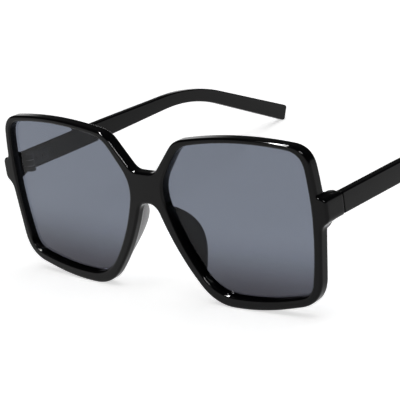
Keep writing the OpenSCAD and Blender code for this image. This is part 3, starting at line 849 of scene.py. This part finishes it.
class GLASSES_OT_temples(bpy.types.Operator):
    """Build the two temples"""

    bl_idname = "glasses.temples"
    bl_label = "Temples"

    def execute(self, context):
        shape = Front(context.scene.glasses_front)
        sheets = temple_sheets(context.scene.glasses_temple, shape.s)
        for side, placed in both_sides(shape, sheets):
            make_piece("temple_shell_" + side, placed, plastic_material(), "temple_" + side,
                       ["temple_" + side])
        return {"FINISHED"}


class GLASSES_OT_hinges(bpy.types.Operator):
    """Give the hinge parts and the core wires their metal and nylon"""

    bl_idname = "glasses.hinges"
    bl_label = "Hinges"

    def execute(self, context):
        for side in SIDES:
            for part in ("front_hinge_leaf_", "temple_hinge_leaf_", "core_wire_",
                         "front_leaf_screws_", "temple_leaf_screws_"):
                dress(part + side, metal_material())
            dress("pivot_screw_" + side, screw_material())
            dress("hinge_washers_" + side, nylon_material())
        return {"FINISHED"}


def add_camera(s, shift):
    """Sets the camera at the photograph's angle: its axes come from azimuth, elevation and roll."""
    a, e, r = s.azimuth, s.elevation, s.roll
    back = Vector((math.sin(a) * math.cos(e), -math.cos(a) * math.cos(e), math.sin(e)))
    level = Vector((math.cos(a), math.sin(a), 0))
    upright = back.cross(level)
    right = level * math.cos(r) + upright * math.sin(r)
    up = upright * math.cos(r) - level * math.sin(r)
    place = back * s.distance + right * s.aside + up * s.above
    place += Vector((0, shift, s.aim_height))
    data = bpy.data.cameras.new("camera")
    data.sensor_width = 36
    data.lens = s.focal / MM
    data.clip_start = 0.01
    data.clip_end = 50
    camera = bpy.data.objects.new("camera", data)
    camera.matrix_world = Matrix((
        (right.x, up.x, back.x, place.x),
        (right.y, up.y, back.y, place.y),
        (right.z, up.z, back.z, place.z),
        (0, 0, 0, 1),
    ))
    bpy.context.scene.collection.objects.link(camera)
    bpy.context.scene.camera = camera


def add_lamp(name, aim, towards, distance, along, size, power):
    """A soft box seen from aim in the direction towards, with its long side turned along a vector."""
    data = bpy.data.lights.new(name, "AREA")
    data.shape = "RECTANGLE"
    data.size, data.size_y = size
    data.energy = power
    lamp = bpy.data.objects.new(name, data)
    away = Vector(towards).normalized()
    across = away.cross(Vector(along)).normalized()
    level = across.cross(away)
    place = Vector(aim) + away * distance
    lamp.matrix_world = Matrix((
        (level.x, across.x, away.x, place.x),
        (level.y, across.y, away.y, place.y),
        (level.z, across.z, away.z, place.z),
        (0, 0, 0, 1),
    ))
    bpy.context.scene.collection.objects.link(lamp)
    return lamp


def seen_directly(nodes, links):
    """1 for camera, glossy and transmission rays, else 0."""
    rays = nodes.new("ShaderNodeLightPath")
    first, second = nodes.new("ShaderNodeMath"), nodes.new("ShaderNodeMath")
    first.operation = second.operation = "MAXIMUM"
    links.new(rays.outputs["Is Camera Ray"], first.inputs[0])
    links.new(rays.outputs["Is Glossy Ray"], first.inputs[1])
    links.new(first.outputs[0], second.inputs[0])
    links.new(rays.outputs["Is Transmission Ray"], second.inputs[1])
    return second.outputs[0]


def add_world(s):
    """A backdrop that is white round the horizon and dim overhead, and a weaker light from it."""
    world = bpy.data.worlds.new("white_room")
    world.use_nodes = True
    nodes, links = world.node_tree.nodes, world.node_tree.links
    place, split = nodes.new("ShaderNodeTexCoord"), nodes.new("ShaderNodeSeparateXYZ")
    fade = nodes.new("ShaderNodeMapRange")
    fade.interpolation_type = "SMOOTHSTEP"
    for label, value in (("From Min", 0.05), ("From Max", 0.2), ("To Min", 1.0), ("To Max", s.ceiling)):
        fade.inputs[label].default_value = value
    links.new(place.outputs["Generated"], split.inputs[0])
    links.new(split.outputs["Z"], fade.inputs["Value"])
    light = nodes["Background"]
    light.inputs["Strength"].default_value = s.sky
    white = nodes.new("ShaderNodeBackground")
    for background in (light, white):
        links.new(fade.outputs["Result"], background.inputs["Color"])
    choose = nodes.new("ShaderNodeMixShader")
    links.new(seen_directly(nodes, links), choose.inputs[0])
    links.new(light.outputs[0], choose.inputs[1])
    links.new(white.outputs[0], choose.inputs[2])
    links.new(choose.outputs[0], nodes["World Output"].inputs["Surface"])
    bpy.context.scene.world = world


def add_floor(s):
    """A wide white floor: a square grid at z = 0 that keeps the object's shadow."""
    side = np.linspace(-FLOOR_REACH, FLOOR_REACH, FLOOR_COUNT)
    x, y = np.meshgrid(side, side, indexing="ij")
    points = np.stack([x, y, np.zeros_like(x)], -1)
    mesh = bpy.data.meshes.new("floor")
    faces = grid_faces(FLOOR_COUNT, FLOOR_COUNT, 0)
    mesh.from_pydata(points.reshape(-1, 3).tolist(), [], faces.tolist())
    material = bpy.data.materials.new("white_floor")
    material.use_nodes = True
    nodes, links = material.node_tree.nodes, material.node_tree.links
    shader = nodes["Principled BSDF"]
    shader.inputs["Base Color"].default_value = (*s.floor, 1)
    shader.inputs["Roughness"].default_value = 0.9
    shader.inputs["Specular IOR Level"].default_value = 0.0
    shader.inputs["Emission Color"].default_value = (1, 1, 1, 1)
    lift = nodes.new("ShaderNodeMath")
    lift.operation = "MULTIPLY"
    lift.inputs[1].default_value = FLOOR_LIFT
    links.new(seen_directly(nodes, links), lift.inputs[0])
    links.new(lift.outputs[0], shader.inputs["Emission Strength"])
    mesh.materials.append(material)
    floor = bpy.data.objects.new("floor", mesh)
    bpy.context.scene.collection.objects.link(floor)


class GLASSES_OT_stage(bpy.types.Operator):
    """Set the floor, the soft light and the camera"""

    bl_idname = "glasses.stage"
    bl_label = "Stage"

    def execute(self, context):
        s = context.scene.glasses_stage
        context.scene.view_settings.view_transform = "Standard"
        shift = Front(context.scene.glasses_front).shift
        add_camera(s, shift)
        add_world(s)
        add_floor(s)
        aim = (0, shift / 2, s.aim_height)
        above, streak, corner = [add_lamp(name, aim, *values) for name, values in LAMPS.items()]
        above.visible_glossy = False
        streak.visible_diffuse = corner.visible_diffuse = False
        return {"FINISHED"}


GROUPS = {
    "glasses_front": FrontSettings,
    "glasses_lens": LensSettings,
    "glasses_pad": PadSettings,
    "glasses_temple": TempleSettings,
    "glasses_finish": FinishSettings,
    "glasses_stage": StageSettings,
}
OPERATORS = (
    GLASSES_OT_stage,
    GLASSES_OT_front,
    GLASSES_OT_lenses,
    GLASSES_OT_pads,
    GLASSES_OT_temples,
    GLASSES_OT_hinges,
)


class GLASSES_PT_panel(bpy.types.Panel):
    """Sidebar panel with every setting and operator"""

    bl_idname = "GLASSES_PT_panel"
    bl_label = "Sunglasses"
    bl_space_type = "VIEW_3D"
    bl_region_type = "UI"
    bl_category = "Sunglasses"

    def draw(self, context):
        for operator in OPERATORS:
            self.layout.operator(operator.bl_idname)
        for name, group in GROUPS.items():
            box = self.layout.box()
            box.label(text=name.split("_")[-1].capitalize())
            for key in group.__annotations__:
                box.prop(getattr(context.scene, name), key)


def register():
    """Adds the settings, the operators and the panel."""
    for name, group in GROUPS.items():
        bpy.utils.register_class(group)
        setattr(bpy.types.Scene, name, bpy.props.PointerProperty(type=group))
    for item in (*OPERATORS, GLASSES_PT_panel):
        bpy.utils.register_class(item)


def unregister():
    """Takes them away again."""
    for item in reversed((*OPERATORS, GLASSES_PT_panel)):
        bpy.utils.unregister_class(item)
    for name, group in reversed(GROUPS.items()):
        delattr(bpy.types.Scene, name)
        bpy.utils.unregister_class(group)


def main():
    """Builds everything."""
    register()
    bpy.ops.glasses.stage()
    bpy.ops.glasses.front()
    bpy.ops.glasses.lenses()
    bpy.ops.glasses.pads()
    bpy.ops.glasses.temples()
    bpy.ops.glasses.hinges()
    bpy.context.view_layer.update()


if __name__ == "__main__":
    main()
